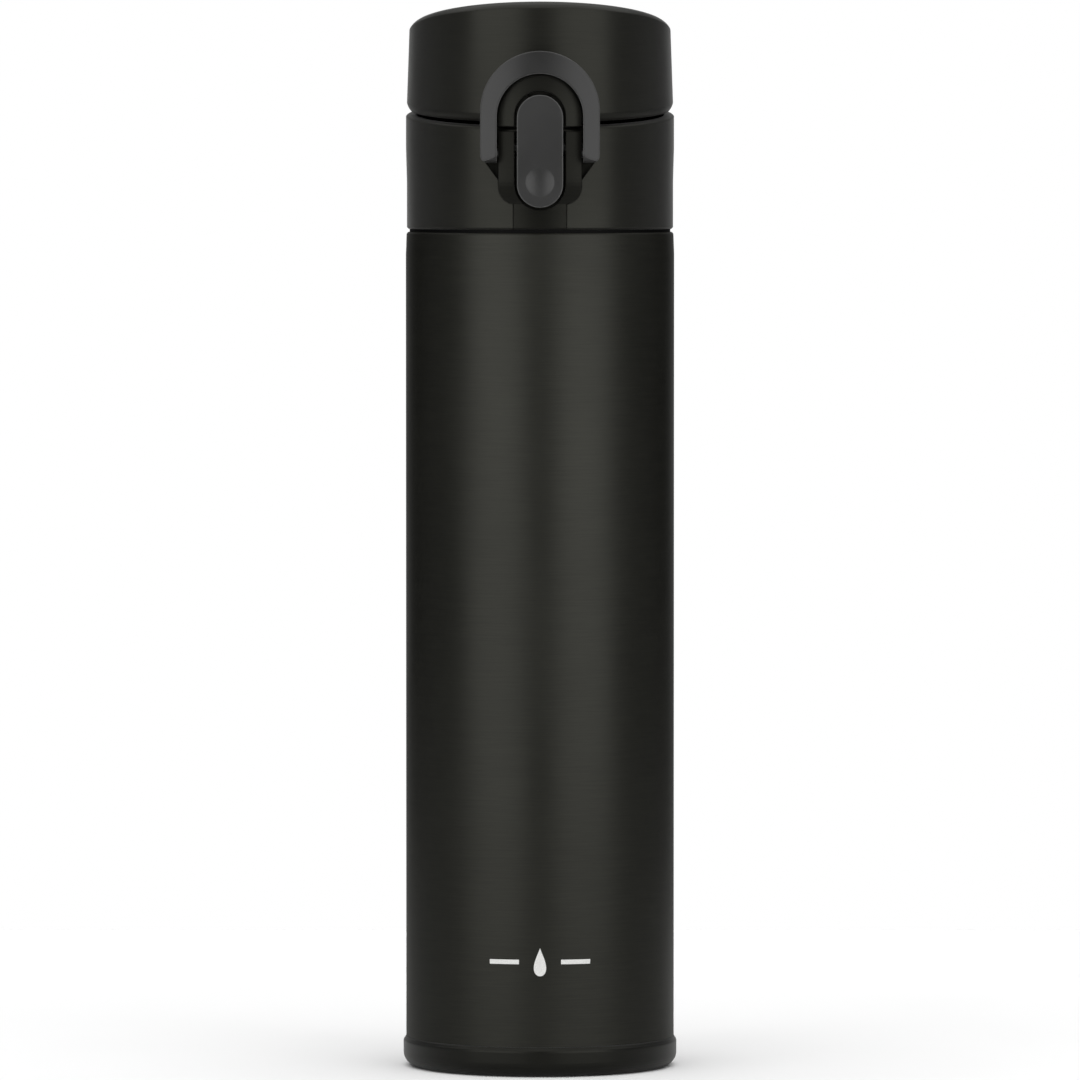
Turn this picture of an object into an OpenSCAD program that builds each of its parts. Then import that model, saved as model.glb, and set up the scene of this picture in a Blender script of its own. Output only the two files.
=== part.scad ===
// Slim one-touch vacuum flask: a double-walled steel bottle and a screw-on cap
// unit with a spring lid, a rocker button and a swing-over lock ring.
// Millimetres, +Z up, origin at the centre of the foot, front facing -Y.

/* [Bottle] */
// Overall height, up to the front edge of the lid
total_h = 235; // [225:1:250]
// Diameter of the painted outer shell
body_d = 59.2; // [59:0.1:60]
// Diameter of the base cup, which stands a little proud of the shell
base_d = 60.4; // [60.2:0.1:61.5]
// Height of the base cup
base_h = 6.6; // [6:0.1:9]
// Height of the shoulder, where the cap unit starts
shoulder_z = 185; // [184.8:0.1:185.2]
// Wall of the outer shell
shell_wall = 0.4; // [0.3:0.05:0.6]
// Wall of the inner bottle
inner_wall = 0.35; // [0.3:0.05:0.5]

/* [Cap unit] */
// Diameter of the collar at its rim
collar_d = 59.1; // [58.8:0.1:59.4]
// Height of the collar's rim beside the axis
rim_z = 210.2; // [209.5:0.1:210.5]
// Rise of the rim per millimetre towards the hinge
seam_slope = 0.1; // [0.08:0.01:0.11]
// Rise of the lid's top per millimetre towards the front
top_slope = 0.165; // [0.12:0.005:0.18]
// Axial pitch of the screw thread
thread_pitch = 4; // [4:0.5:4.5]

/* [Latch] */
// Width of the push button
button_w = 10; // [9:0.2:10.2]
// Height of the push button
button_h = 24.4; // [24:0.2:24.6]
// Outside width of the lock ring
ring_w = 26; // [25.4:0.2:26.4]

/* [Hidden] */
$fn = 96;
// Cutting blocks reach this far, past every face.
reach = 50;

// Bottle
body_r = body_d / 2;
base_r = base_d / 2;
shell_in = body_r - shell_wall;
vacuum_gap = 1.5;
inner_r = shell_in - vacuum_gap;
inner_in = inner_r - inner_wall;
neck_r = 22.3;
neck_wall = 0.5;
mouth_r = 20.5;
lip_z = shoulder_z + 15;
neck_thread_z = shoulder_z + 3;
seam_ring_in = 25.6;
lip_t = 0.5;
plate_z = 4.6;
inner_base_z = 11;

// Cap unit
collar_r = collar_d / 2;
waist_r = collar_r - 0.2;
shell_top = shoulder_z - 0.7;
collar_z = shoulder_z - 0.1;
wall_in = 27.35;
seam_gap = 0.9;
skirt_in = 23.6;
skirt_out = 25.2;
deck_z = lip_z + 0.6;
deck_t = 1.8;
spout_hole = 13.1;
spout_r = 12.7;
spout_in = 10.6;
spout_top = 218.9;
plug_z = shoulder_z + 3.5;
pad_half = 14.4;

// Lid
lid_r0 = 29.4;
lid_r0_z = 211;
lid_draft = 0.035;
lid_wall = 2;
lid_bore = 27;
liner_z = 221.6;
seal_z = 219;
lid_top_r = lid_r0 - lid_draft * (total_h - lid_r0_z);
top_mid = total_h - top_slope * lid_top_r;
top_tilt = atan(top_slope);
seam_tilt = atan(seam_slope);

// Hinge at the back
hinge_y = 31.2;
hinge_z = 213.6;
knuckle_r = 2.6;
hinge_gap = 0.3;
hinge_pin_r = 1;
ear_in = 6.3;
ear_out = 9.5;
lug_in = 3.3;
lug_out = 6.1;

// Latch at the front. The boss face and the ring are struck from the same curve.
pivot_y = -28.9;
pivot_z = 202.8;
ring_pivot_y = -29.4;
ring_pivot_z = 201.6;
face_curve = 42;
boss_face = -31.5;
boss_w = 18.1;
boss_top = 206.3;
boss_bottom = 190.4;
boss_corner = 3.9;
slot_w = button_w + 1.1;
slot_floor = -28.4;
housing_back = -25.6;
tongue_w = 11.7;
arch_back = -27.6;
arch_bottom = 207.4;
boss_step = 28.25;
arch_top = 218.3;
button_top = 214.2;
button_bottom = button_top - button_h;
button_face = -34;
button_back = -31;
dimple_r = 3.1;
dimple_depth = 0.5;
dimple_z = 195.3;
button_pin_r = 0.9;
spring_z = button_bottom + button_w / 2;
hook_z = 211.6;
hook_half = 2.5;
ring_top = 223.7;
ring_leg = 3.6;
ring_end = 199.5;
ring_face = -34.8;
ring_t = 2.5;
ring_band = 4.9;
ring_back_r = 29.9;
ring_nose = 2;
ring_corner = 1.6;
ring_back = -28.4;
trunnion_r = 1;
trunnion_in = 7.2;
swing_floor = 29.9;
parting_gap = 0.1;

function arc(cx, cy, r, a0, a1, n) =
    [for (i = [0:n]) let (a = a0 + (a1 - a0) * i / n) [cx + r * cos(a), cy + r * sin(a)]];

// Quarter and part circles in these profiles are arcs of a few short cones.
module lathe(points) {
    rotate_extrude() polygon(points);
}

module tube_between(r_in, r_out, z0, z1) {
    translate([0, 0, z0]) difference() {
        cylinder(r = r_out, h = z1 - z0);
        translate([0, 0, -1]) cylinder(r = r_in, h = z1 - z0 + 2);
    }
}

// A block from a front-view outline (x, z), between two depths.
module front_block(y0, y1) {
    translate([0, y1, 0]) rotate([90, 0, 0]) linear_extrude(y1 - y0) children();
}

// A bar along X from a side-view outline (y, z), between two x values.
module side_block(x0, x1) {
    translate([x0, 0, 0]) rotate([90, 0, 90]) linear_extrude(x1 - x0) children();
}

module x_rod(r, x0, x1, y, z) {
    translate([x0, y, z]) rotate([0, 90, 0]) cylinder(r = r, h = x1 - x0);
}

// A block through the front of the flask, from the axis forward.
module front_slab(half, z0, z1) {
    translate([-half, -reach, z0]) cube([2 * half, reach, z1 - z0]);
}

module both_sides() {
    children();
    mirror([1, 0, 0]) children();
}

// The curved front that the boss and the ring share, for a face at depth y.
module curved_front(y, radius) {
    translate([0, y + radius, 0]) cylinder(r = radius, h = total_h + 10, $fn = 180);
}

// Everything above the slanted plane of the collar's rim.
module above_seam() {
    translate([0, 0, rim_z]) rotate([seam_tilt, 0, 0])
        translate([-reach, -reach, 0]) cube([2 * reach, 2 * reach, 60]);
}

// Everything above the lid's slanted top, starting dz over it.
module above_top(dz) {
    translate([0, 0, top_mid + dz]) rotate([-top_tilt, 0, 0])
        translate([-reach, -reach, 0]) cube([2 * reach, 2 * reach, 30]);
}

// Sweeps a closed section along a path of frames [centre, side, up].
module sweep(frames, section) {
    n = len(frames);
    m = len(section);
    points = [for (f = frames, s = section) f[0] + f[1] * s[0] + f[2] * s[1]];
    sides = [for (i = [0:n - 2], j = [0:m - 1])
        [i * m + j, i * m + (j + 1) % m, (i + 1) * m + (j + 1) % m, (i + 1) * m + j]];
    first = [for (j = [m - 1:-1:0]) j];
    last = [for (j = [0:m - 1]) (n - 1) * m + j];
    polyhedron(points, concat([first], sides, [last]), convexity = 8);
}

// A helical ridge about Z, rising from z0 at angle 0. It fades out at both ends.
module thread_ridge(r_root, r_crest, w_root, w_crest, z0, a0, a1) {
    steps = round((a1 - a0) / 6);
    run_out = 4;
    frames = [for (i = [0:steps]) let (a = a0 + (a1 - a0) * i / steps,
        fade = min(1, (i + 0.6) / run_out, (steps - i + 0.6) / run_out))
        [[0, 0, z0 + thread_pitch * a / 360], [cos(a), sin(a), 0], [0, 0, 1], fade]];
    function section(fade) = let (crest = r_root + (r_crest - r_root) * fade)
        [[r_root, -w_root / 2], [crest, -w_crest / 2], [crest, w_crest / 2], [r_root, w_root / 2]];
    points = [for (f = frames, s = section(f[3])) f[0] + f[1] * s[0] + f[2] * s[1]];
    n = len(frames);
    outward = r_crest > r_root;
    ends = [[0, 1, 2, 3], [for (j = [3:-1:0]) (n - 1) * 4 + j]];
    sides = [for (i = [0:n - 2], j = [0:3])
        [i * 4 + j, (i + 1) * 4 + j, (i + 1) * 4 + (j + 1) % 4, i * 4 + (j + 1) % 4]];
    faces = concat(ends, sides);
    polyhedron(points, outward ? faces : [for (f = faces) [for (j = [len(f) - 1:-1:0]) f[j]]],
        convexity = 8);
}

// --- Bottle ---------------------------------------------------------------

module outer_shell() {
    shoulder_round = 0.7;
    top = shell_top;
    color("#232321") lathe(concat(
            [[shell_in, 1.6], [body_r, 1.6], [body_r, top - 5], [body_r - 0.12, top - 1.6]],
            arc(body_r - 0.15 - shoulder_round, top - shoulder_round, shoulder_round, 10, 90, 5),
            [[neck_r + 0.6, top], [neck_r, top + 0.6], [neck_r, lip_z - lip_t]],
            [[neck_r - neck_wall, lip_z - lip_t], [neck_r - neck_wall, top - 0.3]],
            [[neck_r - 0.2, top - 0.8], [shell_in - 2, top - 0.8], [shell_in - 0.3, top - 2.4],
                [shell_in, top - 5]]));
}

module neck_thread() {
    root = (neck_r + 0.01) / cos(3);
    color("#b9bbbd") thread_ridge(root, neck_r + 1, 2, 1, neck_thread_z, 0, 540);
}

module inner_bottle() {
    top = shoulder_z - 3;
    neck_out = neck_r - neck_wall - 0.4;
    color("#b9bbbd") lathe(concat(
        [[inner_in, inner_base_z + 1], [inner_r, inner_base_z + 1], [inner_r, top - 6]],
        arc(inner_r - 4, top - 4, 4, 0, 80, 6),
        [[neck_out, top + 0.6], [neck_out, lip_z - lip_t], [neck_r, lip_z - lip_t]],
        [[neck_r, lip_z - 0.15], [neck_r - 0.15, lip_z], [mouth_r + 0.2, lip_z]],
        [[mouth_r, lip_z - 0.2], [mouth_r, top + 0.1]],
        arc(inner_r - 4, top - 4, 4 - inner_wall, 80, 0, 6)));
}

module inner_bottom() {
    dish_r = 6;
    z = inner_base_z - 0.2;
    color("#a9abad") lathe(concat(
        [[0, z + 1.4]], arc(inner_in - 0.02 - dish_r, z + dish_r, dish_r, -90, 0, 6),
        [[inner_in - 0.02, z + 8], [inner_in - 0.02 - inner_wall, z + 8]],
        arc(inner_in - 0.02 - dish_r, z + dish_r, dish_r - inner_wall, 0, -90, 6),
        [[0, z + 1.4 + inner_wall]]));
}

module copper_foil() {
    color("#b87333") tube_between(inner_r + 0.05, inner_r + 0.2, 22, shoulder_z - 16);
}

module vacuum_end_plate() {
    rim = shell_in - 0.02;
    solder_cup_r = 5;
    color("#9fa1a3") lathe([
        [1, plate_z + 1.2], [solder_cup_r, plate_z + 1.2], [solder_cup_r + 0.8, plate_z],
        [rim - 4, plate_z], [rim - 1.2, plate_z - 0.6], [rim - 0.5, plate_z - 1.6],
        [rim - 0.5, 1.8], [rim, 1.8], [rim, plate_z - 1.4], [rim - 1, plate_z],
        [rim - 4, plate_z + 0.5], [solder_cup_r + 1, plate_z + 0.5],
        [solder_cup_r + 0.2, plate_z + 1.7], [1, plate_z + 1.7]]);
}

module seal_solder() {
    color("#6e6f72") lathe(concat([[0, plate_z + 1.2], [0, plate_z + 0.1]],
        arc(0, plate_z + 1.2, 1.9, -60, 0, 4)));
}

module getter() {
    color("#8a8d90") translate([12, 0, plate_z + 0.7]) difference() {
        cylinder(r = 4, h = 2.4);
        translate([0, 0, 1.6]) cylinder(r = 3.2, h = 2);
    }
}

module base_cup() {
    foot_round = 3;
    rim_round = 0.9;
    floor_t = 1;
    groove_r = 20;
    groove_depth = 0.5;
    color("#1f1f1e") lathe(concat(
        [[0, 0], [groove_r - 1, 0], [groove_r - 0.6, groove_depth]],
        [[groove_r + 0.6, groove_depth], [groove_r + 1, 0], [base_r - foot_round, 0]],
        arc(base_r - foot_round, foot_round, foot_round, -90, 0, 8),
        [[base_r, base_h - rim_round - 0.3]],
        arc(base_r - rim_round, base_h - rim_round - 0.3, rim_round, 0, 45, 3),
        [[body_r, base_h]],
        [[body_r, 1.5], [body_r - 2.4, floor_t], [0, floor_t]]));
}

module shoulder_ring() {
    color("#151515") tube_between(seam_ring_in, body_r - 0.85, shell_top, collar_z - 0.05);
}

// --- Cap unit: fixed pieces ------------------------------------------------

module mouth_seal() {
    bed = 18.1;
    lip = mouth_r - 0.3;
    z = plug_z + 2.1;
    color("#d9d9d6") lathe([
        [bed, z], [19.2, z], [lip, z + 0.6], [lip, z + 1], [19.4, z + 1.4], [19.4, z + 2],
        [lip, z + 2.5], [lip, z + 3], [19.2, z + 3.8], [bed, z + 3.8]]);
}

module spout() {
    flange = 19.6;
    bed = 17.8;
    lip = spout_r + 0.25;
    color("#2c2d2e") lathe([
        [16.6, plug_z], [flange - 0.5, plug_z], [flange, plug_z + 0.5], [flange, plug_z + 2],
        [bed, plug_z + 2], [bed, plug_z + 6], [flange, plug_z + 6], [flange, plug_z + 7.5],
        [flange - 3.2, deck_z - 0.3], [spout_r, deck_z - 0.3], [spout_r, spout_top - 2.6],
        [lip, spout_top - 2], [lip, spout_top - 0.7], [lip - 0.5, spout_top - 0.15],
        [lip - 1, spout_top], [spout_in + 0.9, spout_top], [spout_in + 0.2, spout_top - 0.4],
        [spout_in, spout_top - 1], [spout_in, deck_z + 1], [spout_in + 0.6, deck_z - 1],
        [15.6, plug_z + 3.5], [16.6, plug_z + 1]]);
}

module cap_core() {
    skirt_z = collar_z + 1;
    ribs = 18;
    rib_t = 1.2;
    color("#1c1c1c") union() {
        difference() {
            lathe([
                [skirt_in, skirt_z], [skirt_out, skirt_z], [skirt_out, deck_z], [wall_in, deck_z],
                [wall_in, deck_z + deck_t], [spout_hole + 1.2, deck_z + deck_t],
                [spout_hole + 1.2, deck_z + deck_t + 1.4], [spout_hole, deck_z + deck_t + 1.4],
                [spout_hole, deck_z], [skirt_in, deck_z]]);
            front_clearance();
        }
        for (i = [2:ribs - 2]) rotate([0, 0, -90 + 360 / ribs * i])
            translate([skirt_out - 0.2, -rib_t / 2, skirt_z + 2])
                cube([wall_in - skirt_out + 0.15, rib_t, deck_z - skirt_z - 1.5]);
    }
}

// The core's thread hooks under the neck's, a tenth of a millimetre clear.
module core_thread() {
    color("#1c1c1c") thread_ridge(skirt_in - 0.01, neck_r + 0.3, 1.8, 0.9, neck_thread_z - 1.4, 90, 540);
}

// The core's flange stops short of the solid pad behind the latch.
module front_clearance() {
    intersection() {
        tube_between(skirt_out + 0.05, reach, shoulder_z, rim_z);
        front_slab(pad_half + 0.2, shoulder_z, rim_z);
    }
}

module boss_outline() {
    half = boss_w / 2;
    translate([-half, boss_bottom + boss_corner]) square([boss_w, boss_top - boss_bottom - boss_corner]);
    translate([-half + boss_corner, boss_bottom])
        square([boss_w - 2 * boss_corner, boss_top - boss_bottom]);
    for (s = [-1, 1]) translate([s * (half - boss_corner), boss_bottom + boss_corner])
        circle(r = boss_corner);
}

// The room that the latch housing takes in the collar's wall.
module housing_room() {
    front_block(-reach, housing_back) boss_outline();
    intersection() {
        tube_between(wall_in - 0.5, reach, collar_z - 1, boss_bottom + 1);
        front_slab(tongue_w / 2, collar_z - 1, boss_top);
    }
}

module button_slot(z_end) {
    translate([-slot_w / 2, spring_z]) square([slot_w, z_end - spring_z]);
    translate([0, spring_z]) circle(r = slot_w / 2);
}

// The curved front of the boss, which slopes in below on an arc.
module boss_front() {
    slope_r = 10;
    slope_z = 197;
    low = boss_bottom - 1;
    translate([0, boss_face + face_curve, 0]) rotate_extrude($fn = 180)
        polygon(concat([[0, boss_top + 1], [0, low]],
            arc(face_curve - slope_r, slope_z, slope_r, -asin((slope_z - low) / slope_r), 0, 10),
            [[face_curve, boss_top + 1]]));
}

module latch_housing() {
    pin_hole_out = 7;
    color("#1d1d1d") difference() {
        union() {
            intersection() {
                front_block(-reach, housing_back) boss_outline();
                boss_front();
            }
            intersection() {
                collar_profile();
                front_slab(tongue_w / 2 - parting_gap, collar_z - 1, boss_bottom + 0.2);
            }
        }
        front_block(-reach, slot_floor) button_slot(boss_top + 5);
        // room for the button's lug, and the spring's seat
        x_rod(2.1, -slot_w / 2, slot_w / 2, pivot_y, pivot_z);
        translate([0, slot_floor + 1.4, spring_z]) rotate([90, 0, 0]) cylinder(r = 2.2, h = 4);
        x_rod(button_pin_r, -pin_hole_out, pin_hole_out, pivot_y, pivot_z);
        both_sides() x_rod(trunnion_r + 0.07, trunnion_in - 0.1, 12, ring_pivot_y, ring_pivot_z);
    }
}

module collar_profile() {
    edge = 0.4;
    lathe([
        [wall_in, collar_z], [waist_r - edge, collar_z], [waist_r, collar_z + edge],
        [waist_r, collar_z + 10.4], [collar_r, collar_z + 17.8], [collar_r, rim_z + 6],
        [wall_in, rim_z + 6]]);
}

// The room beside the boss in which the ring's rounded ends turn.
module swing_pocket() {
    inner = boss_w / 2 - 0.02;
    hub_r = 2.65;
    sweep_r = 4.65;
    low = 195.7;
    outer = 11.75;
    x_rod(hub_r, inner, ring_w / 2 + 0.3, ring_pivot_y, ring_pivot_z);
    intersection() {
        side_block(inner, outer) translate([ring_pivot_y - 8, low - 0.1])
            square([8 + sweep_r - 1.5, ring_pivot_z - low + 1]);
        x_rod(sweep_r + 1.6, inner, outer, ring_pivot_y, ring_pivot_z);
        front_block(-reach, -20) polygon([[inner, low], [outer, ring_end - 0.1],
            [outer, ring_pivot_z + 1], [inner, ring_pivot_z + 1]]);
    }
}

// A hinge ear runs down the collar's back until it melts into the wall.
module hinge_ear_outline() {
    root_y = 28.4;
    root_z = 203.5;
    translate([hinge_y, hinge_z]) circle(r = knuckle_r);
    polygon([[hinge_y + knuckle_r * cos(-8), hinge_z + knuckle_r * sin(-8)],
        [hinge_y - knuckle_r * cos(40), hinge_z + 0.9], [root_y, hinge_z - 1], [root_y, root_z],
        [root_y + 1.1, root_z]]);
}

module collar() {
    color("#212121") difference() {
        union() {
            difference() {
                collar_profile();
                above_seam();
                rim_chamfer();
                // room for the lid's middle knuckle
                x_rod(knuckle_r + hinge_gap, -ear_in, ear_in, hinge_y, hinge_z);
            }
            intersection() {
                tube_between(skirt_out + 0.15, wall_in + 0.2, pivot_z - 8, pivot_z + 3.6);
                front_slab(pad_half, 0, total_h);
            }
            both_sides() side_block(ear_in, ear_out) hinge_ear_outline();
        }
        housing_room();
        boss_gap();
        both_sides() swing_pocket();
        x_rod(hinge_pin_r, -12, 12, hinge_y, hinge_z);
        // the groove for the spring's lower leg
        translate([-3, hinge_y - 2.4, hinge_z - 6.5]) cube([1, 3, 8]);
    }
}

// The dark gap in the rim between the boss on the collar and the boss on the lid.
module boss_gap() {
    half = boss_w / 2 + 0.3;
    intersection() {
        tube_between(boss_step - 0.35, reach, arch_bottom - 0.3, rim_z);
        front_slab(half, 0, total_h);
    }
}

// Rounds the rim's outer edge, in the plane of the seam.
module rim_chamfer() {
    r = 1;
    oval_r = collar_r / cos(seam_tilt) + 0.02;
    translate([0, 0, rim_z]) rotate([seam_tilt, 0, 0]) rotate_extrude()
        polygon(concat([[reach, -r]], arc(oval_r - r, -r, r, 0, 75, 5),
            [[oval_r - r - 0.2, 0.1], [reach, 0.1]]));
}

// --- Latch -----------------------------------------------------------------

module button_outline() {
    r = button_w / 2;
    translate([-r, button_bottom + r]) square([button_w, button_h - button_w]);
    for (z = [button_bottom + r, button_top - r]) translate([0, z]) circle(r = r);
}

module button() {
    lug_r = 1.7;
    lug_half = 4.6;
    dimple_sphere = (pow(dimple_r, 2) + pow(dimple_depth, 2)) / (2 * dimple_depth);
    color("#3a3b3c") difference() {
        union() {
            front_block(button_face, button_back) button_outline();
            x_rod(lug_r, -lug_half, lug_half, pivot_y, pivot_z);
            translate([-lug_half, button_back - 0.2, pivot_z - lug_r])
                cube([2 * lug_half, pivot_y - button_back + 0.2, 2 * lug_r]);
            side_block(-hook_half, hook_half) polygon([
                [button_back - 0.2, hook_z], [button_back + 1, hook_z],
                [button_back + 1, hook_z + 0.8], [button_back, hook_z + 2.1],
                [button_back - 0.2, hook_z + 2.1]]);
            translate([0, button_back + 0.7, spring_z]) rotate([90, 0, 0])
                cylinder(r = 1.1, h = 1);
        }
        translate([0, button_face - dimple_sphere + dimple_depth, dimple_z])
            sphere(r = dimple_sphere);
        x_rod(button_pin_r + 0.06, -8, 8, pivot_y, pivot_z);
    }
}

module button_pin() {
    color("#c4c6c8") x_rod(button_pin_r, -6.95, 6.95, pivot_y, pivot_z);
}

// A round wire for the two springs, as a section of eight sides.
function wire_section(r) = [for (i = [0:7]) [r * cos(45 * i), r * sin(45 * i)]];

module button_spring() {
    turns = 4;
    per_turn = 18;
    coil_r = 1.6;
    wire_r = 0.2;
    y0 = button_back + 0.25;
    y1 = slot_floor + 1.15;
    frames = [for (i = [0:turns * per_turn]) let (a = 360 * i / per_turn)
        [[coil_r * cos(a), y0 + (y1 - y0) * i / (turns * per_turn), spring_z + coil_r * sin(a)],
            [cos(a), 0, sin(a)], [0, 1, 0]]];
    color("#c4c6c8") sweep(frames, wire_section(wire_r));
}

module ring_outline() {
    half = ring_w / 2;
    inner = half - ring_leg;
    arch_z = ring_top - half;
    inner_z = ring_top - ring_band - inner;
    difference() {
        union() {
            intersection() {
                translate([0, arch_z]) circle(r = half);
                translate([-half, arch_z]) square([ring_w, half]);
            }
            translate([-half, ring_end + ring_corner]) square([ring_w, arch_z - ring_end - ring_corner]);
            translate([ring_corner - half, ring_end]) square([ring_w - 2 * ring_corner, half]);
            for (side = [-1, 1])
                translate([side * (half - ring_corner), ring_end + ring_corner]) circle(r = ring_corner);
        }
        translate([0, inner_z]) circle(r = inner);
        translate([-inner, ring_end - 1]) square([2 * inner, inner_z - ring_end + 1]);
    }
}

module lock_ring() {
    inner = ring_w / 2 - ring_leg;
    nose_y = ring_face + 1.05 + ring_nose;
    nose_z = ring_end + ring_nose;
    color("#3d3e3f") union() {
        intersection() {
            difference() {
                intersection() {
                    front_block(-reach, ring_back) ring_outline();
                    curved_front(ring_face, face_curve);
                }
                // the arch stands clear in front of the lid's boss
                intersection() {
                    translate([0, ring_face + face_curve, 0])
                        cylinder(r = face_curve - ring_t, h = total_h, $fn = 180);
                    front_slab(inner - 0.1, ring_end, total_h);
                }
                cylinder(r = ring_back_r, h = total_h);
            }
            // the ends are rounded at the front, to turn about the pivot
            union() {
                front_slab(ring_w, nose_z, total_h);
                x_rod(ring_nose, -ring_w, ring_w, nose_y, nose_z);
                translate([-ring_w, nose_y, ring_end]) cube([2 * ring_w, 20, ring_nose + 0.1]);
            }
        }
        both_sides() x_rod(trunnion_r, trunnion_in, inner + 0.2, ring_pivot_y, ring_pivot_z);
    }
}

// --- Hinge and lid -----------------------------------------------------------

module hinge_pin() {
    color("#c4c6c8") x_rod(hinge_pin_r, -ear_out + 0.2, ear_out - 0.2, hinge_y, hinge_z);
}

module lid_spring() {
    turns = 4;
    per_turn = 18;
    coil_r = 1.72;
    wire_r = 0.25;
    half = 2.5;
    leg = 5.6;
    steps = turns * per_turn + per_turn / 2;
    coil = [for (i = [0:steps]) let (a = 180 + 360 * i / per_turn)
        [[-half + 2 * half * i / steps, hinge_y + coil_r * cos(a), hinge_z - coil_r * sin(a)],
            [0, cos(a), -sin(a)], [1, 0, 0]]];
    start = [[[-half, hinge_y - coil_r, hinge_z - leg], [0, -1, 0], [1, 0, 0]]];
    finish = [[[half, hinge_y + coil_r, hinge_z - 0.5], [0, 1, 0], [1, 0, 0]]];
    color("#c4c6c8") sweep(concat(start, coil, finish), wire_section(wire_r));
}

module lid_arch_outline() {
    r = boss_w / 2;
    intersection() {
        translate([0, arch_top - r]) circle(r = r);
        translate([-r, arch_bottom]) square([boss_w, arch_top]);
    }
    translate([-r, arch_bottom]) square([boss_w, arch_top - r - arch_bottom]);
}

module lid_slot_outline() {
    r = slot_w / 2;
    z = button_top + 0.9 - r;
    translate([0, z]) circle(r = r);
    translate([-r, arch_bottom - 5]) square([slot_w, z - arch_bottom + 5]);
}

// A lug on the lid runs up its back until it melts into the wall.
module lid_lug_outline() {
    root_y = 28.2;
    root_z = 221.5;
    translate([hinge_y, hinge_z]) circle(r = knuckle_r);
    polygon([[hinge_y + knuckle_r * cos(10), hinge_z + knuckle_r * sin(10)], [root_y + 1.4, root_z],
        [root_y, root_z], [root_y, hinge_z + 1.2], [hinge_y - knuckle_r, hinge_z]]);
}

module lid_body() {
    z0 = 205;
    z1 = total_h + 1;
    difference() {
        translate([0, 0, z0]) cylinder(r1 = lid_r0 - lid_draft * (z0 - lid_r0_z),
            r2 = lid_r0 - lid_draft * (z1 - lid_r0_z), h = z1 - z0);
        above_top(0);
        top_chamfer();
        difference() {
            translate([0, 0, z0 - 1]) cylinder(r = lid_bore, h = z1);
            above_top(-lid_wall);
        }
        below_seam();
        seam_chamfer();
    }
}

module below_seam() {
    translate([0, 0, rim_z + seam_gap]) rotate([seam_tilt, 0, 0])
        translate([-reach, -reach, -20]) cube([2 * reach, 2 * reach, 20]);
}

// The lid's lower edge draws in on an arc of radius 4.
module seam_chamfer() {
    r = 4;
    rise = 2.6;
    translate([0, 0, rim_z + seam_gap]) rotate([seam_tilt, 0, 0]) rotate_extrude()
        polygon(concat(arc(lid_r0 - r + 0.05, rise, r, -asin((rise + 0.1) / r), 0, 7),
            [[reach, rise], [reach, -0.1]]));
}

// Rounds the top's edge. The slanted top is an oval whose middle lies a little behind the axis.
module top_chamfer() {
    r = 3.2;
    oval_r = lid_top_r / cos(top_tilt) + 0.2;
    translate([0, 0, top_mid]) rotate([-top_tilt, 0, 0]) translate([0, 0.17, 0]) rotate_extrude()
        polygon(concat([[reach, -r]], arc(oval_r - r, -r, r, 0, 75, 7),
            [[oval_r - r - 0.4, 0.2], [reach, 0.2]]));
}

module lid_shell() {
    color("#222222") difference() {
        union() {
            lid_body();
            difference() {
                intersection() {
                    front_block(-reach, arch_back) lid_arch_outline();
                    curved_front(boss_face, face_curve);
                }
                translate([0, 0, arch_bottom - 1]) cylinder(r = boss_step, h = 1.8);
            }
            both_sides() side_block(lug_in, lug_out) lid_lug_outline();
        }
        // the slot's floor is struck from the hinge, so that it swings past the hook
        difference() {
            front_block(-reach, -28) lid_slot_outline();
            x_rod(hinge_y + swing_floor, -20, 20, hinge_y, hinge_z);
        }
        // the window that the hook reaches into
        translate([-hook_half - 0.3, -34, hook_z - 0.4]) cube([2 * hook_half + 0.6, 5.3, 3.1]);
        x_rod(hinge_pin_r + 0.06, -12, 12, hinge_y, hinge_z);
        both_sides() x_rod(knuckle_r + hinge_gap, lug_out, ear_out + 0.3, hinge_y, hinge_z);
        x_rod(knuckle_r, -lug_in, lug_in, hinge_y, hinge_z);
    }
}

module lid_liner() {
    z = liner_z;
    color("#2a2b2c") lathe([
        [0, z], [13.9, z], [13.9, 218.4], [14.6, 217.9], [15.3, 218.4], [15.3, z],
        [lid_bore - 1.8, z], [lid_bore - 1.8, 216.6], [lid_bore - 0.1, 216.6],
        [lid_bore - 0.1, z + 1.5], [0, z + 1.5]]);
}

module lid_seal() {
    z = seal_z;
    color("#d9d9d6") lathe([
        [0, z + 1.2], [9.4, z + 1.2], [10, z + 0.2], [10.8, z], [12.4, z], [13, z + 0.3],
        [13.8, z + 0.9], [13.8, liner_z], [0, liner_z]]);
}

outer_shell();
neck_thread();
inner_bottle();
inner_bottom();
copper_foil();
vacuum_end_plate();
seal_solder();
getter();
base_cup();
shoulder_ring();
mouth_seal();
collar();
cap_core();
core_thread();
spout();
latch_housing();
button();
button_pin();
button_spring();
lock_ring();
hinge_pin();
lid_spring();
lid_shell();
lid_liner();
lid_seal();
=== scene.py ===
"""Looks for the slim one-touch vacuum flask: finishes, springs, printed mark, light and camera."""

import math

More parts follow.
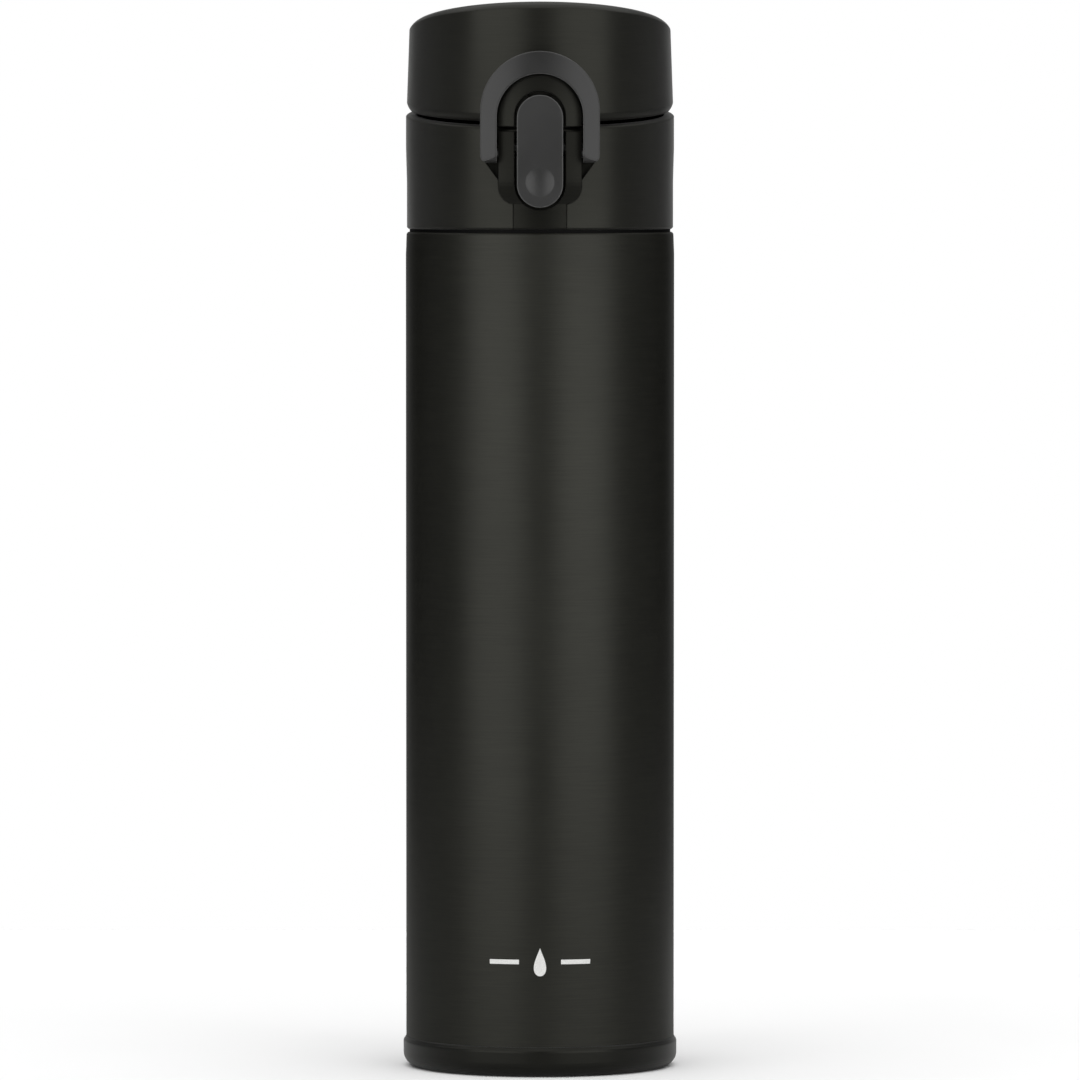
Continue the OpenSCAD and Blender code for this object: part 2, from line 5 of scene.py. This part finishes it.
import bmesh
import bpy
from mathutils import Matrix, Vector


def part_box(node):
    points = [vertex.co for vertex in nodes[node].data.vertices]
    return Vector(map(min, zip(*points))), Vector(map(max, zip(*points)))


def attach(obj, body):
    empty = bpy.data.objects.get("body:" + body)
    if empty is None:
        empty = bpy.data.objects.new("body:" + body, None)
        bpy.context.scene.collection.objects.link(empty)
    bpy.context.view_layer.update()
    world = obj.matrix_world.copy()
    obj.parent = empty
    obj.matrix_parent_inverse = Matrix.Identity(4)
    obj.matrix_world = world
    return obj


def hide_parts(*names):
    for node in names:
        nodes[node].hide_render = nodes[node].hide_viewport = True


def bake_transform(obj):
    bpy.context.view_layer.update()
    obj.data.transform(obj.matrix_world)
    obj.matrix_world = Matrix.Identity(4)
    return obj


MM = 0.001
# the black finishes mirror slightly yellow, which gives them the photo's warm tint
WARM = (1.0, 1.0, 0.87, 1.0)
BEVEL_SAMPLES = 6

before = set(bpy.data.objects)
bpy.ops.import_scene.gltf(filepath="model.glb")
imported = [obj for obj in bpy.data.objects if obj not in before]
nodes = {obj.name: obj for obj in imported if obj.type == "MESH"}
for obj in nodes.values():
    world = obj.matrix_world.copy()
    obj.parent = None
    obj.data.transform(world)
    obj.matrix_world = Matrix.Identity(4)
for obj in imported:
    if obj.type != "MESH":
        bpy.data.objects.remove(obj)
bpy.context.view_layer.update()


# --- Material helpers --------------------------------------------------------


def new_material(name, colour, roughness, sockets=None):
    """A material with one Principled shader, its plain values set on the shader's own sockets."""
    material = bpy.data.materials.new(name)
    material.use_nodes = True
    shader = material.node_tree.nodes["Principled BSDF"]
    shader.inputs["Base Color"].default_value = (*colour, 1)
    shader.inputs["Roughness"].default_value = roughness
    for socket, value in (sockets or {}).items():
        shader.inputs[socket].default_value = value
    material.diffuse_color = (*colour, 1)
    return material


def add_node(material, kind, values=None, **settings):
    """A node with those settings, and those values on its unlinked sockets."""
    node = material.node_tree.nodes.new(kind)
    for name, value in settings.items():
        setattr(node, name, value)
    for socket, value in (values or {}).items():
        node.inputs[socket].default_value = value
    return node


def link(material, source, target):
    material.node_tree.links.new(source, target)


def noise(material, features_mm, detail=4.0, rough=0.55, offset=0.0):
    """Noise whose features are about features_mm long along X, Y and Z of the object.
    An offset gives another part of the same noise."""
    coordinates = add_node(material, "ShaderNodeTexCoord")
    mapping = add_node(material, "ShaderNodeMapping")
    mapping.inputs["Scale"].default_value = [1 / (f * MM) for f in features_mm]
    mapping.inputs["Location"].default_value = (offset, offset, offset)
    texture = add_node(
        material, "ShaderNodeTexNoise", {"Scale": 1.0, "Detail": detail, "Roughness": rough}
    )
    link(material, coordinates.outputs["Object"], mapping.inputs["Vector"])
    link(material, mapping.outputs["Vector"], texture.inputs["Vector"])
    return texture.outputs["Fac"]


def shader_of(material):
    return material.node_tree.nodes["Principled BSDF"]


def vary_colour(material, factor, dark, light, low=0.35, high=0.65):
    """Base colour from dark where the factor is low to light where it is high."""
    ramp = add_node(material, "ShaderNodeValToRGB")
    ramp.color_ramp.elements[0].position = low
    ramp.color_ramp.elements[0].color = (*dark, 1)
    ramp.color_ramp.elements[1].position = high
    ramp.color_ramp.elements[1].color = (*light, 1)
    link(material, factor, ramp.inputs["Fac"])
    link(material, ramp.outputs["Color"], shader_of(material).inputs["Base Color"])


def vary_roughness(material, factor, low, high):
    """Roughness from low to high over the part of the noise's range that it mostly fills."""
    spread = add_node(
        material,
        "ShaderNodeMapRange",
        {"From Min": 0.3, "From Max": 0.7, "To Min": low, "To Max": high},
    )
    link(material, factor, spread.inputs["Value"])
    link(material, spread.outputs["Result"], shader_of(material).inputs["Roughness"])


def soften_edges(material, radius_mm):
    """Shades sharp edges as if they were rounded; called before any bump."""
    bevel = add_node(material, "ShaderNodeBevel", {"Radius": radius_mm * MM}, samples=BEVEL_SAMPLES)
    link(material, bevel.outputs["Normal"], shader_of(material).inputs["Normal"])


def add_bump(material, height, depth_mm, strength=1.0):
    """Bump from a 0 to 1 height; a second call adds its relief over the first."""
    normal = shader_of(material).inputs["Normal"]
    below = normal.links[0].from_socket if normal.links else None
    bump = add_node(material, "ShaderNodeBump", {"Strength": strength, "Distance": depth_mm * MM})
    link(material, height, bump.inputs["Height"])
    if below:
        link(material, below, bump.inputs["Normal"])
    link(material, bump.outputs["Normal"], normal)


def paint_edge_highlight(material, radius_mm, colour):
    """Paints a highlight: mixes that colour in along sharp edges, where a moulded radius would
    catch the light.
    """
    flat = 0.995
    rounded = 0.92
    bevel = add_node(material, "ShaderNodeBevel", {"Radius": radius_mm * MM}, samples=BEVEL_SAMPLES)
    geometry = add_node(material, "ShaderNodeNewGeometry")
    level = add_node(material, "ShaderNodeVectorMath", operation="DOT_PRODUCT")
    link(material, bevel.outputs["Normal"], level.inputs[0])
    link(material, geometry.outputs["Normal"], level.inputs[1])
    edge = add_node(
        material,
        "ShaderNodeMapRange",
        {"From Min": flat, "From Max": rounded, "To Min": 0.0, "To Max": 1.0},
    )
    link(material, level.outputs["Value"], edge.inputs["Value"])
    base = shader_of(material).inputs["Base Color"]
    blend = add_node(material, "ShaderNodeMix", data_type="RGBA")
    link(material, edge.outputs["Result"], blend.inputs["Factor"])
    link(material, base.links[0].from_socket, blend.inputs["A"])
    blend.inputs["B"].default_value = (*colour, 1)
    link(material, blend.outputs["Result"], base)


def scaled(values, factor):
    """A colour or a point, each of its numbers times the factor."""
    return tuple(value * factor for value in values)


# --- Materials ---------------------------------------------------------------


def painted_steel():
    """Thin black paint over steel that was brushed round the body: the brush lines show through."""
    black = (0.0045, 0.0045, 0.0034)
    finish = {
        "Metallic": 0.15,
        "Specular IOR Level": 0.5,
        "Specular Tint": WARM,
        "Coat Weight": 0.1,
        "Coat Roughness": 0.35,
    }
    material = new_material("painted_steel", black, 0.42, finish)
    brushed = noise(material, (10, 10, 0.3), detail=5, rough=0.7)
    cloud = noise(material, (26, 26, 40), detail=2, offset=3)
    vary_colour(material, brushed, scaled(black, 0.5), scaled(black, 1.7))
    vary_roughness(material, cloud, 0.38, 0.46)
    add_bump(material, brushed, 0.026, 0.6)
    return material


def painted_plastic(name, colour, roughness, gloss=0.31):
    """Plastic painted to match the shell: faint brush lines round it, soft edges, a warm black."""
    finish = {
        "Metallic": 0.1,
        "Specular IOR Level": gloss,
        "Specular Tint": WARM,
        "Sheen Weight": 0.12,
        "Sheen Roughness": 0.45,
    }
    material = new_material(name, colour, roughness, finish)
    soften_edges(material, 0.3)
    brushed = noise(material, (8, 8, 0.28), detail=4, rough=0.65)
    cloud = noise(material, (18, 18, 18), detail=2, offset=7)
    vary_colour(material, brushed, scaled(colour, 0.8), scaled(colour, 1.3), 0.3, 0.7)
    vary_roughness(material, cloud, roughness - 0.03, roughness + 0.04)
    add_bump(material, brushed, 0.0025, 0.5)
    return material


def moulded_plastic(name, colour, roughness, depth_mm=0.006, edge_mm=0.0, gloss=0.3):
    """Plastic from a lightly textured mould, with a faint unevenness in its finish."""
    grain_mm = 0.3
    variation = 0.12
    material = new_material(name, colour, roughness, {"Specular IOR Level": gloss})
    if edge_mm:
        soften_edges(material, edge_mm)
    grain = noise(material, (grain_mm,) * 3, detail=3)
    cloud = noise(material, (14, 14, 14), detail=2, offset=7)
    vary_colour(material, cloud, scaled(colour, 1 - variation), scaled(colour, 1 + variation))
    vary_roughness(material, cloud, roughness - 0.03, roughness + 0.03)
    add_bump(material, grain, depth_mm, 0.5)
    return material


def brushed_steel():
    """Bare steel turned on a lathe: fine lines round it and a faint stain."""
    grey = 0.56
    roughness = 0.36
    colour = (grey, grey * 0.995, grey * 0.98)
    material = new_material("brushed_steel", colour, roughness, {"Metallic": 1.0})
    lines = noise(material, (7, 7, 0.12), detail=4, rough=0.7)
    stain = noise(material, (11, 11, 16), detail=3, offset=5)
    vary_colour(material, lines, scaled(colour, 0.86), scaled(colour, 1.08))
    vary_roughness(material, stain, roughness - 0.06, roughness + 0.1)
    add_bump(material, lines, 0.006, 0.5)
    return material


def rolled_metal(name, colour, roughness):
    """Foil, solder or plate: metal with a soft rolling grain and a little tarnish."""
    material = new_material(name, colour, roughness, {"Metallic": 1.0})
    grain = noise(material, (0.5, 6, 6), detail=4)
    tarnish = noise(material, (6, 6, 6), detail=4, offset=2)
    vary_colour(material, tarnish, scaled(colour, 0.7), colour)
    vary_roughness(material, grain, roughness - 0.06, roughness + 0.1)
    add_bump(material, grain, 0.01, 0.4)
    return material


def drawn_wire():
    """Spring wire, with the fine lines that drawing leaves along it."""
    steel = (0.6, 0.6, 0.59)
    material = new_material("drawn_wire", steel, 0.22, {"Metallic": 1.0})
    lines = noise(material, (3, 0.12, 0.12), detail=3)
    vary_colour(material, lines, scaled(steel, 0.8), steel)
    vary_roughness(material, lines, 0.28, 0.36)
    add_bump(material, lines, 0.004, 0.4)
    return material


def silicone():
    """A pale gasket with a dusty bloom."""
    pale = (0.4, 0.4, 0.385)
    glow = {"Subsurface Weight": 0.25, "Subsurface Scale": 2 * MM}
    material = new_material("silicone", pale, 0.48, glow)
    dust = noise(material, (1.2, 1.2, 1.2), detail=5)
    vary_colour(material, dust, scaled(pale, 0.9), pale)
    vary_roughness(material, dust, 0.42, 0.56)
    add_bump(material, noise(material, (0.4, 0.4, 0.4)), 0.006, 0.4)
    return material


def printed_ink():
    """Off-white ink with the fine speckle of a pad print."""
    white = (0.72, 0.72, 0.7)
    material = new_material("printed_ink", white, 0.45)
    speckle = noise(material, (0.25, 0.25, 0.25), detail=4)
    vary_colour(material, speckle, scaled(white, 0.86), white)
    vary_roughness(material, speckle, 0.4, 0.55)
    return material


def assign(material, *names):
    for name in names:
        for material_slot in nodes[name].material_slots:
            material_slot.material = material


def dress_nodes():
    """The finish of every CAD node, except the two springs."""
    cap_black = (0.0078, 0.0077, 0.0063)
    lid = painted_plastic("lid_plastic", cap_black, 0.32)
    collar = painted_plastic("collar_plastic", cap_black, 0.32)
    # painted shade: the latch housing gets a darker, less glossy copy of the cap's black, standing
    # in for the shade on its downward-sloping boss and tongue
    latch = painted_plastic("latch_plastic_painted_shade", (0.0045, 0.0044, 0.0035), 0.32, gloss=0.2)
    base = painted_plastic("base_plastic", (0.0032, 0.0032, 0.0026), 0.33)
    hidden = moulded_plastic("inner_plastic", (0.012, 0.012, 0.012), 0.45)
    assign(painted_steel(), "outer_shell")
    assign(brushed_steel(), "inner_bottle", "inner_bottom", "neck_thread")
    assign(rolled_metal("copper_foil", (0.78, 0.38, 0.22), 0.36), "copper_foil")
    assign(rolled_metal("plate_steel", (0.45, 0.45, 0.44), 0.4), "vacuum_end_plate", "getter")
    assign(rolled_metal("solder", (0.42, 0.42, 0.43), 0.45), "seal_solder")
    assign(base, "base_cup")
    rubber = moulded_plastic("black_rubber", (0.002, 0.002, 0.002), 0.6, gloss=0.1)
    assign(rubber, "shoulder_ring")
    assign(silicone(), "mouth_seal", "lid_seal")
    assign(collar, "collar")
    assign(latch, "latch_housing")
    assign(hidden, "cap_core", "core_thread")
    polished = moulded_plastic("spout_plastic", (0.014, 0.014, 0.0145), 0.2, 0.002, gloss=0.5)
    assign(polished, "spout", "lid_liner")
    assign(lid, "lid_shell")
    ring = moulded_plastic("ring_plastic", (0.02, 0.02, 0.0195), 0.32, edge_mm=0.55, gloss=0.5)
    # painted highlight: a pale colour mixed in along the ring's sharp edges
    paint_edge_highlight(ring, 0.3, (0.1, 0.1, 0.098))
    assign(ring, "lock_ring")
    grey = (0.024, 0.024, 0.0235)
    button = moulded_plastic("button_plastic", grey, 0.34, edge_mm=0.5, gloss=0.54)
    # painted highlight: a pale colour mixed in along the button's sharp edges
    paint_edge_highlight(button, 0.3, (0.14, 0.14, 0.137))
    assign(button, "button")
    assign(rolled_metal("pin_steel", (0.09, 0.09, 0.088), 0.4), "button_pin", "hinge_pin")


# --- The two springs ---------------------------------------------------------


def bend_spring(node, wire):
    """A copy of that CAD spring, welded and smooth; the CAD spring itself is hidden."""
    weld = 0.001 * MM
    rest = nodes[node]
    build = bmesh.new()
    build.from_mesh(rest.data)
    bmesh.ops.remove_doubles(build, verts=build.verts, dist=weld)
    build.verts.index_update()
    corners = [vertex.co.copy() for vertex in build.verts]
    faces = [[vertex.index for vertex in face.verts] for face in build.faces]
    build.free()
    mesh = bpy.data.meshes.new(node + "_coil")
    mesh.from_pydata(corners, [], faces)
    mesh.shade_smooth()
    mesh.materials.append(wire)
    coil = bpy.data.objects.new(node + "_coil", mesh)
    bpy.context.collection.objects.link(coil)
    coil.matrix_world = rest.matrix_world.copy()
    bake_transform(coil)
    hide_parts(node)


def bend_springs():
    """Smooth copies, in drawn wire, of the button's spring and the lid's spring."""
    wire = drawn_wire()
    bend_spring("button_spring", wire)
    bend_spring("lid_spring", wire)


# --- The printed mark --------------------------------------------------------

shell_low, shell_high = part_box("outer_shell")
shell_r = (shell_high.x - shell_low.x) / 2
mark_z = shell_low.z + 23.7 * MM
ink_lift = 0.06 * MM
ink = printed_ink()


def on_shell(x, z):
    """A point at arc length x round from the front, just outside the painted shell."""
    turn = x / shell_r
    r = shell_r + ink_lift
    return Vector((r * math.sin(turn), -r * math.cos(turn), mark_z + z))


def print_patch(name, rows):
    """A thin ink patch on the bottle. Each row is (height, left, right) in metres from the mark's
    centre, lowest first."""
    columns = 12
    mesh = bpy.data.meshes.new(name)
    build = bmesh.new()
    grid = []
    for z, left, right in rows:
        across = [left + (right - left) * i / columns for i in range(columns + 1)]
        grid.append([build.verts.new(on_shell(x, z)) for x in across])
    for lower, upper in zip(grid, grid[1:]):
        for i in range(columns):
            build.faces.new((lower[i], lower[i + 1], upper[i + 1], upper[i]))
    build.to_mesh(mesh)
    build.free()
    patch = bpy.data.objects.new(name, mesh)
    bpy.context.collection.objects.link(patch)
    patch.data.materials.append(ink)
    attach(patch, "bottle")


def droplet(height):
    """Rows of a drop: round below, drawn in to a point at the top."""
    rows = []
    steps = 24
    cut_off = 0.01
    plumpness = 0.62
    pinch = 1.5
    for i in range(steps + 1):
        t = math.pi * (1 - (1 - 2 * cut_off) * i / steps - cut_off)
        half = plumpness * height / 2 * math.sin(t) * math.sin(t / 2) ** pinch
        rows.append((height / 2 * math.cos(t), -half, half))
    return rows


def print_mark():
    """A plain droplet between two short rules."""
    drop_height = 6.2 * MM
    print_patch("mark_droplet", droplet(drop_height))
    rule_half = 0.5 * MM
    inner = 4.6 * MM
    outer = 11.2 * MM
    sides = (("mark_rule_left", -outer, -inner), ("mark_rule_right", inner, outer))
    for name, left, right in sides:
        print_patch(name, [(-rule_half, left, right), (rule_half, left, right)])


# --- Studio ------------------------------------------------------------------


def floor():
    """A small pale sheet under the flask."""
    size = 0.7
    pale = (0.84, 0.84, 0.84)
    mirrored = (0.3, 0.3, 0.3)
    bpy.ops.mesh.primitive_plane_add(size=size, location=(0, 0, 0))
    plane = bpy.context.object
    plane.name = "floor"
    material = new_material("pale_floor", pale, 0.8, {"Specular IOR Level": 0.2})
    vary_roughness(material, noise(material, (40, 40, 40)), 0.75, 0.9)
    # the flask mirrors the floor only faintly, as if dark cards stood in front of it
    seen = add_node(material, "ShaderNodeLightPath")
    vary_colour(material, seen.outputs["Is Glossy Ray"], pale, mirrored, 0.0, 1.0)
    plane.data.materials.append(material)


def softbox(name, azimuth):
    """A tall area light at that angle from the front, facing the flask."""
    distance = 1.6
    width = 1.45
    height = 1.8
    radiance = 1.5
    centre_z = 0.35
    light = bpy.data.lights.new(name, "AREA")
    light.shape = "RECTANGLE"
    light.size = width
    light.size_y = height
    light.energy = math.pi * width * height * radiance
    lamp = bpy.data.objects.new(name, light)
    turn = math.radians(azimuth)
    lamp.location = (distance * math.sin(turn), -distance * math.cos(turn), centre_z)
    aim = Vector((0, 0, centre_z)) - lamp.location
    lamp.rotation_euler = aim.to_track_quat("-Z", "Y").to_euler()
    lamp.visible_camera = False
    bpy.context.collection.objects.link(lamp)


def surround():
    """A pale room: light behind the flask and overhead, dark in front, a little light at the sides.
    Reflections see it dimmer overhead, and the camera sees plain white."""
    world = bpy.data.worlds.new("pale_room")
    bpy.context.scene.world = world
    world.use_nodes = True
    tree = world.node_tree
    background = tree.nodes["Background"]

    def add(kind, **settings):
        """A world node with those settings."""
        node = tree.nodes.new(kind)
        for name, value in settings.items():
            setattr(node, name, value)
        return node

    direction = add("ShaderNodeTexCoord")
    split = add("ShaderNodeSeparateXYZ")
    tree.links.new(direction.outputs["Generated"], split.inputs[0])

    def step(source, low, high, to_low, to_high):
        """A smooth step from to_low, where the source is low, to to_high, where it is high."""
        spread = add("ShaderNodeMapRange", interpolation_type="SMOOTHSTEP")
        spread.inputs["From Min"].default_value = low
        spread.inputs["From Max"].default_value = high
        spread.inputs["To Min"].default_value = to_low
        spread.inputs["To Max"].default_value = to_high
        tree.links.new(source, spread.inputs["Value"])
        return spread.outputs["Result"]

    def combine(operation, a, b):
        maths = add("ShaderNodeMath", operation=operation)
        tree.links.new(a, maths.inputs[0])
        tree.links.new(b, maths.inputs[1])
        return maths.outputs[0]

    behind = step(split.outputs["Y"], 0.8, 0.97, 0.02, 0.3)
    overhead = step(split.outputs["Z"], 0.55, 0.75, 0.0, 2.0)
    sideways = combine("MULTIPLY", split.outputs["X"], split.outputs["X"])
    beside = step(sideways, 0.7, 0.9, 0.0, 0.12)
    seen = add("ShaderNodeLightPath")
    mirrored = step(seen.outputs["Is Glossy Ray"], 0.0, 1.0, 1.0, 0.4)
    overhead = combine("MULTIPLY", overhead, mirrored)
    room = combine("MAXIMUM", combine("MAXIMUM", behind, beside), overhead)
    shown = add("ShaderNodeMix", data_type="FLOAT")
    tree.links.new(seen.outputs["Is Camera Ray"], shown.inputs["Factor"])
    tree.links.new(room, shown.inputs["A"])
    shown.inputs["B"].default_value = 1.0
    background.inputs["Color"].default_value = (1, 1, 1, 1)
    tree.links.new(shown.outputs["Result"], background.inputs["Strength"])


def camera():
    """Square on from the front, two metres off, near the height of the button."""
    distance = 2.0
    eye_z = 0.2008
    aim_z = 0.1162
    sensor_mm = 36
    lens_mm = 302
    data = bpy.data.cameras.new("camera")
    data.sensor_width = sensor_mm
    data.lens = lens_mm
    eye = bpy.data.objects.new("camera", data)
    eye.location = (0, -distance, eye_z)
    eye.rotation_euler = (Vector((0, 0, aim_z)) - eye.location).to_track_quat("-Z", "Y").to_euler()
    bpy.context.collection.objects.link(eye)
    bpy.context.scene.camera = eye


dress_nodes()
bend_springs()
print_mark()
floor()
surround()
softbox("softbox_left", -37.5)
softbox("softbox_right", 37.5)
camera()
bpy.context.scene.view_settings.view_transform = "Standard"
